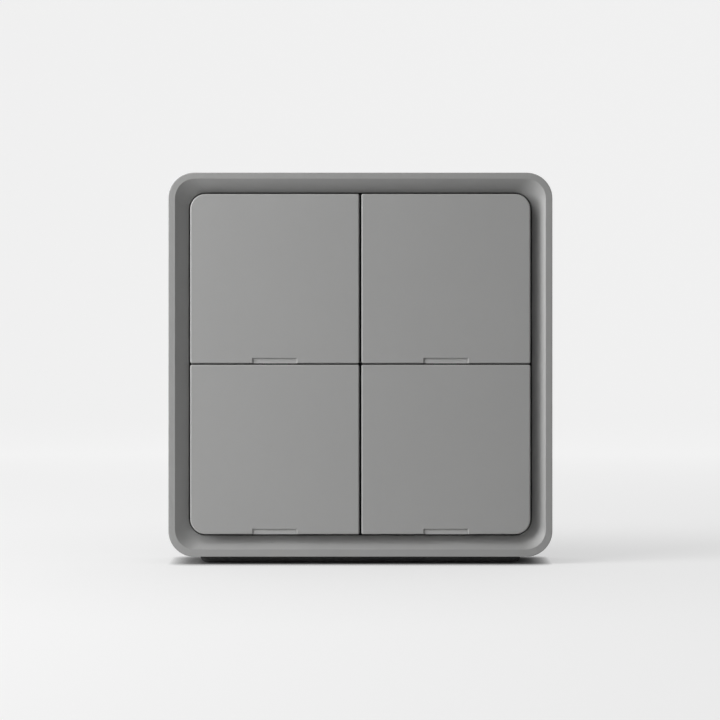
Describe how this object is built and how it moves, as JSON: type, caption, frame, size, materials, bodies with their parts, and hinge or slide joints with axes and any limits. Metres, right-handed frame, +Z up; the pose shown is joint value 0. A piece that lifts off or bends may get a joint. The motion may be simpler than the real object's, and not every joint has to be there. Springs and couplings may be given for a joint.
{
  "type": "smart light switch",
  "caption": "Battery-powered wireless wall switch with hinged push keys in a dished square frame, held by magnets on a screw-on or stick-on wall plate.",
  "frame": {"origin": "centre of the wall plate's back face, in the wall's plane", "axes": "+Z up, key faces towards -Y, +X to the right seen from the front"},
  "size_m": [0.086, 0.016, 0.0874],
  "materials": {
    "grey_frame": "satin",
    "grey_key": "matte",
    "grey_window": "satin",
    "grey_back": "matte",
    "grey_plate": "matte",
    "dark_inner": "matte",
    "black_rubber": "matte",
    "board_green": "satin",
    "board_blue": "satin",
    "tin_plate": "satin",
    "copper": "satin",
    "chip_black": "matte",
    "plunger_black": "matte",
    "ceramic": "satin",
    "cell_steel": "satin",
    "spring_steel": "satin",
    "screw_steel": "satin",
    "button_dark": "matte",
    "magnet_nickel": "polished",
    "disc_steel": "satin",
    "pad_foam": "matte",
    "led_white": "gloss"
  },
  "bodies": {
    "switch_body": {"front_frame": "grey_frame", "foot_strip": "black_rubber", "key_carrier": "dark_inner", "circuit_board": "board_green", "radio_board": "board_blue", "radio_shield": "tin_plate", "radio_antenna": "copper", "controller_chip": "chip_black", "crystal": "tin_plate", "passives": "ceramic", "coin_cell": "cell_steel", "contact_negative": "spring_steel", "contact_positive": "spring_steel", "rear_housing": "grey_back", "housing_screws": "screw_steel", "pairing_switch": "chip_black", "holding_magnets": "magnet_nickel", "tact_base_top_left": "chip_black", "tact_cover_top_left": "tin_plate", "status_led_top_left": "led_white", "tact_base_top_right": "chip_black", "tact_cover_top_right": "tin_plate", "status_led_top_right": "led_white", "tact_base_bottom_left": "chip_black", "tact_cover_bottom_left": "tin_plate", "status_led_bottom_left": "led_white", "tact_base_bottom_right": "chip_black", "tact_cover_bottom_right": "tin_plate", "status_led_bottom_right": "led_white"},
    "key_top_left": {"key_top_left": "grey_key", "indicator_window_top_left": "grey_window"},
    "plunger_top_left": {"tact_plunger_top_left": "plunger_black"},
    "key_top_right": {"key_top_right": "grey_key", "indicator_window_top_right": "grey_window"},
    "plunger_top_right": {"tact_plunger_top_right": "plunger_black"},
    "key_bottom_left": {"key_bottom_left": "grey_key", "indicator_window_bottom_left": "grey_window"},
    "plunger_bottom_left": {"tact_plunger_bottom_left": "plunger_black"},
    "key_bottom_right": {"key_bottom_right": "grey_key", "indicator_window_bottom_right": "grey_window"},
    "plunger_bottom_right": {"tact_plunger_bottom_right": "plunger_black"},
    "pairing_button": {"pairing_button": "button_dark"},
    "pairing_plunger": {"pairing_plunger": "button_dark"},
    "battery_door": {"battery_door": "grey_back"},
    "wall_plate": {"wall_plate": "grey_plate", "adhesive_pads": "pad_foam", "steel_discs": "disc_steel"}
  },
  "joints": [
    {"name": "key_top_left_press", "type": "hinge", "parent": "switch_body", "child": "key_top_left", "pos_m": [-0.01905, -0.0132, 0.03481], "axis": [1, 0, 0], "range_deg": [0, 1.2], "stiffness_Nm_per_rad": 0.5, "springref_deg": -2.86},
    {"name": "plunger_top_left_travel", "type": "slide", "parent": "switch_body", "child": "plunger_top_left", "axis": [0, 1, 0], "range_m": [0, 0.0003]},
    {"name": "key_top_right_press", "type": "hinge", "parent": "switch_body", "child": "key_top_right", "pos_m": [0.01905, -0.0132, 0.03481], "axis": [1, 0, 0], "range_deg": [0, 1.2], "stiffness_Nm_per_rad": 0.5, "springref_deg": -2.86},
    {"name": "plunger_top_right_travel", "type": "slide", "parent": "switch_body", "child": "plunger_top_right", "axis": [0, 1, 0], "range_m": [0, 0.0003]},
    {"name": "key_bottom_left_press", "type": "hinge", "parent": "switch_body", "child": "key_bottom_left", "pos_m": [-0.01905, -0.0132, -0.00321], "axis": [1, 0, 0], "range_deg": [0, 1.2], "stiffness_Nm_per_rad": 0.5, "springref_deg": -2.86},
    {"name": "plunger_bottom_left_travel", "type": "slide", "parent": "switch_body", "child": "plunger_bottom_left", "axis": [0, 1, 0], "range_m": [0, 0.0003]},
    {"name": "key_bottom_right_press", "type": "hinge", "parent": "switch_body", "child": "key_bottom_right", "pos_m": [0.01905, -0.0132, -0.00321], "axis": [1, 0, 0], "range_deg": [0, 1.2], "stiffness_Nm_per_rad": 0.5, "springref_deg": -2.86},
    {"name": "plunger_bottom_right_travel", "type": "slide", "parent": "switch_body", "child": "plunger_bottom_right", "axis": [0, 1, 0], "range_m": [0, 0.0003]},
    {"name": "pairing_button_press", "type": "slide", "parent": "switch_body", "child": "pairing_button", "axis": [0, -1, 0], "range_m": [0, 0.0003], "stiffness_N_per_m": 1500, "springref_m": -0.0005},
    {"name": "pairing_plunger_travel", "type": "slide", "parent": "switch_body", "child": "pairing_plunger", "axis": [0, -1, 0], "range_m": [0, 0.0003]},
    {"name": "battery_door_turn", "type": "hinge", "parent": "switch_body", "child": "battery_door", "pos_m": [0, -0.0028, 0], "axis": [0, -1, 0], "range_deg": [0, 40]},
    {"name": "wall_plate_pull", "type": "slide", "parent": "switch_body", "child": "wall_plate", "axis": [0, 1, 0], "range_m": [0, 0.02]}
  ],
  "couplings": [
    {"joint": "plunger_top_left_travel", "follows": "key_top_left_press", "m_per_rad": 0.014},
    {"joint": "plunger_top_right_travel", "follows": "key_top_right_press", "m_per_rad": 0.014},
    {"joint": "plunger_bottom_left_travel", "follows": "key_bottom_left_press", "m_per_rad": 0.014},
    {"joint": "plunger_bottom_right_travel", "follows": "key_bottom_right_press", "m_per_rad": 0.014},
    {"joint": "pairing_plunger_travel", "follows": "pairing_button_press", "ratio": 1}
  ]
}
